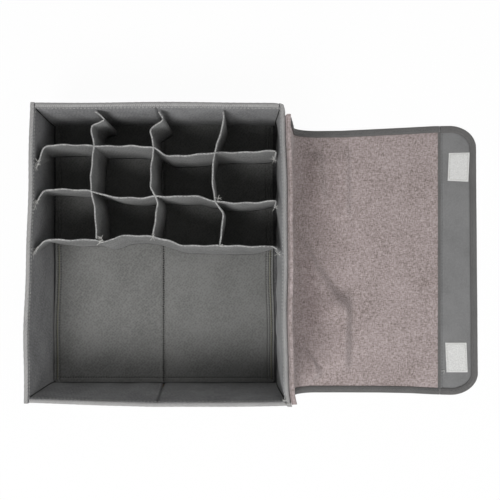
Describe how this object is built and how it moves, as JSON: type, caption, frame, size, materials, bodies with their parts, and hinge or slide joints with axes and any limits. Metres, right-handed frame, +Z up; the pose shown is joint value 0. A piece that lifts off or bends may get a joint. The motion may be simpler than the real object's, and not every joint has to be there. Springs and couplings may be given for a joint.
{
  "type": "drawer organizer",
  "caption": "Open cloth box with sewn cells at the back, a large compartment in front, and a hinged cloth lid that lies open beside it and closes over the left wall.",
  "frame": {"origin": "middle of the box's base, on the face it rests on", "axes": "+Z up, +X from the box towards the open lid, +Y towards the wall beside the small cells"},
  "size_m": [0.5614, 0.356, 0.1283],
  "materials": {
    "grey_cloth": "matt non-woven polypropylene",
    "grey_lining": "matt non-woven polypropylene",
    "pale_cloth": "matt non-woven polypropylene, folded double",
    "dark_binding": "matt non-woven polypropylene tape",
    "taupe_cloth": "soft woven melange cloth",
    "stiffening_board": "plain grey-brown cardboard",
    "fastener_patch": "off-white hook and loop patch"
  },
  "bodies": {
    "box": {"left_wall_cloth": "grey_cloth", "left_wall_board": "stiffening_board", "left_wall_lining": "grey_lining", "left_rim_binding": "dark_binding", "right_wall_cloth": "grey_cloth", "right_wall_board": "stiffening_board", "right_wall_lining": "grey_lining", "right_rim_binding": "dark_binding", "front_wall_cloth": "grey_cloth", "front_wall_board_left": "stiffening_board", "front_wall_board_right": "stiffening_board", "front_wall_lining": "grey_lining", "front_rim_binding": "dark_binding", "back_wall_cloth": "grey_cloth", "back_wall_board_left": "stiffening_board", "back_wall_board_right": "stiffening_board", "back_wall_lining": "grey_lining", "back_rim_binding": "dark_binding", "base_cloth": "grey_cloth", "base_board_left": "stiffening_board", "base_board_right": "stiffening_board", "base_lining": "grey_lining", "base_insert_left": "grey_lining", "base_insert_right": "grey_lining", "row_divider_1": "pale_cloth", "column_divider_1": "pale_cloth", "row_divider_2": "pale_cloth", "column_divider_2": "pale_cloth", "row_divider_3": "pale_cloth", "column_divider_3": "pale_cloth", "wall_patch_front": "fastener_patch", "wall_patch_back": "fastener_patch"},
    "lid_hanging": {"lid_drop_cloth": "taupe_cloth", "lid_drop_binding_front": "dark_binding", "lid_drop_binding_back": "dark_binding"},
    "lid_bend_1": {"lid_bend_1_cloth": "taupe_cloth", "lid_bend_1_binding_front": "dark_binding", "lid_bend_1_binding_back": "dark_binding"},
    "lid_bend_2": {"lid_bend_2_cloth": "taupe_cloth", "lid_bend_2_binding_front": "dark_binding", "lid_bend_2_binding_back": "dark_binding"},
    "lid_lying": {"lid_main_cloth": "taupe_cloth", "lid_main_binding_front": "dark_binding", "lid_main_binding_back": "dark_binding"},
    "lid_end": {"lid_end_band": "grey_cloth", "lid_end_binding": "dark_binding", "lid_patch_front": "fastener_patch", "lid_patch_back": "fastener_patch"}
  },
  "joints": [
    {"name": "lid_hinge", "type": "hinge", "parent": "box", "child": "lid_hanging", "pos_m": [0.1549, 0, 0.1286], "axis": [0, -1, 0], "range_deg": [0, 265]},
    {"name": "lid_bend_upper", "type": "hinge", "parent": "lid_hanging", "child": "lid_bend_1", "pos_m": [0.16394, 0, 0.02525], "axis": [0, 1, 0], "range_deg": [0, 28.33]},
    {"name": "lid_bend_middle", "type": "hinge", "parent": "lid_bend_1", "child": "lid_bend_2", "pos_m": [0.17365, 0, 0.01049], "axis": [0, 1, 0], "range_deg": [0, 28.33]},
    {"name": "lid_bend_lower", "type": "hinge", "parent": "lid_bend_2", "child": "lid_lying", "pos_m": [0.1892, 0, 0.0021], "axis": [0, 1, 0], "range_deg": [0, 28.33]},
    {"name": "end_fold", "type": "hinge", "parent": "lid_lying", "child": "lid_end", "pos_m": [0.35992, 0, 0.0021], "axis": [0, -1, 0], "range_deg": [0, 90]}
  ],
  "couplings": [
    {"joint": "lid_bend_upper", "follows": "lid_hinge", "ratio": 0.10692},
    {"joint": "lid_bend_middle", "follows": "lid_hinge", "ratio": 0.10692},
    {"joint": "lid_bend_lower", "follows": "lid_hinge", "ratio": 0.10692}
  ]
}
